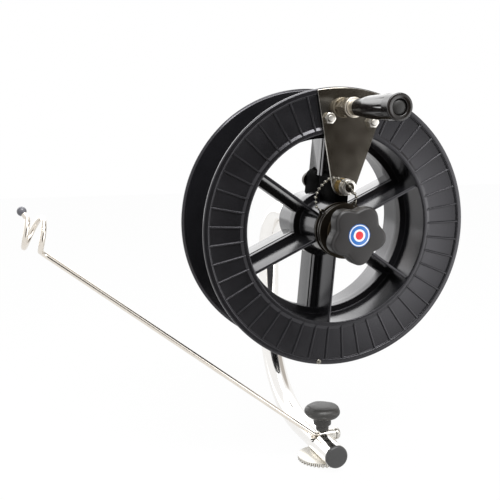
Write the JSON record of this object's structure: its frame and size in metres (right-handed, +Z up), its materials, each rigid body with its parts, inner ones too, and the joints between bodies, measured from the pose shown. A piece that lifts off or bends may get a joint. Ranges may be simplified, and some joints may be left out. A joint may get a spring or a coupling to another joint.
{
  "type": "trolling reel",
  "caption": "Hand-cranked line spool on a bent stainless tube, with a star drag knob, a swinging wire line guide and a toothed mounting disc.",
  "frame": {"origin": "centre of the toothed disc's underside, where the reel stands on its holder, on the clamp knob's axis", "axes": "+Z up through the clamp knob, spool axis along Y with the crank towards -Y, wire guide rising towards -X"},
  "size_m": [0.4485, 0.3376, 0.3966],
  "materials": {
    "black_plastic": "moulded, low gloss",
    "soft_black": "matt",
    "polished_steel": "polished stainless",
    "brushed_steel": "brushed stainless sheet",
    "dark_steel": "oiled, dark",
    "lining_fibre": "pressed fibre",
    "acetal": "turned, black",
    "brass": "turned",
    "badge_enamel": "gloss film"
  },
  "bodies": {
    "frame": {"frame_tube": "polished_steel", "end_cap": "soft_black", "axle": "polished_steel", "axle_collar": "polished_steel", "toothed_disc": "polished_steel", "guide_sleeve": "polished_steel", "keyed_disc": "dark_steel"},
    "spool": {"spool_front_half": "black_plastic", "spool_rear_half": "black_plastic", "hub_bush_front": "acetal", "hub_bush_rear": "acetal", "rim_screw": "polished_steel", "crank_plate": "brushed_steel", "crank_bolt_left": "polished_steel", "crank_bolt_right": "polished_steel", "crank_nut_left": "polished_steel", "crank_nut_right": "polished_steel", "tip_bolt": "polished_steel", "tip_rear_spacer": "polished_steel", "tip_spacer": "polished_steel", "tip_washer": "polished_steel", "tip_nut": "polished_steel", "handle_bolt": "polished_steel", "handle_nut": "polished_steel", "handle_ferrule": "polished_steel", "inner_drag_disc": "dark_steel", "inner_lining": "lining_fibre", "outer_lining": "lining_fibre", "outer_drag_disc": "dark_steel", "disc_spring": "polished_steel", "chain_ring_rear": "polished_steel", "chain_ring_front": "polished_steel", "bead_chain": "polished_steel"},
    "grip": {"grip": "black_plastic", "grip_cap": "soft_black"},
    "drag_washer": {"pressure_washer": "polished_steel"},
    "star_knob": {"star_knob": "soft_black", "knob_insert": "brass", "knob_badge": "badge_enamel"},
    "clamp_pad": {"clamp_pad": "brass"},
    "clamp_knob": {"clamp_knob": "soft_black", "clamp_stud": "polished_steel"},
    "guide": {"guide_wire": "polished_steel", "guide_end_nut": "polished_steel", "guide_tip_ball": "soft_black"}
  },
  "joints": [
    {"name": "spool_turn", "type": "hinge", "parent": "frame", "child": "spool", "pos_m": [0, 0.011, 0.2567], "axis": [0, -1, 0], "continuous": true},
    {"name": "grip_turn", "type": "hinge", "parent": "spool", "child": "grip", "pos_m": [0.00606, -0.1, 0.37643], "axis": [0, -1, 0], "continuous": true},
    {"name": "drag_screw_travel", "type": "slide", "parent": "frame", "child": "drag_washer", "axis": [0, -1, 0], "range_m": [0, 0.003]},
    {"name": "star_knob_turn", "type": "hinge", "parent": "drag_washer", "child": "star_knob", "pos_m": [0, -0.07, 0.2567], "axis": [0, -1, 0], "range_deg": [0, 720]},
    {"name": "clamp_screw_travel", "type": "slide", "parent": "frame", "child": "clamp_pad", "axis": [0, 0, 1], "range_m": [0, 0.002]},
    {"name": "clamp_knob_turn", "type": "hinge", "parent": "clamp_pad", "child": "clamp_knob", "pos_m": [0, 0, 0.05], "axis": [0, 0, 1], "range_deg": [0, 720]},
    {"name": "guide_swing", "type": "hinge", "parent": "frame", "child": "guide", "pos_m": [0, 0, 0.0273], "axis": [1, 0, 0], "range_deg": [-75, 75]}
  ],
  "couplings": [
    {"joint": "drag_screw_travel", "follows": "star_knob_turn", "m_per_rad": 0.00023873},
    {"joint": "clamp_screw_travel", "follows": "clamp_knob_turn", "m_per_rad": 0.00015915}
  ]
}
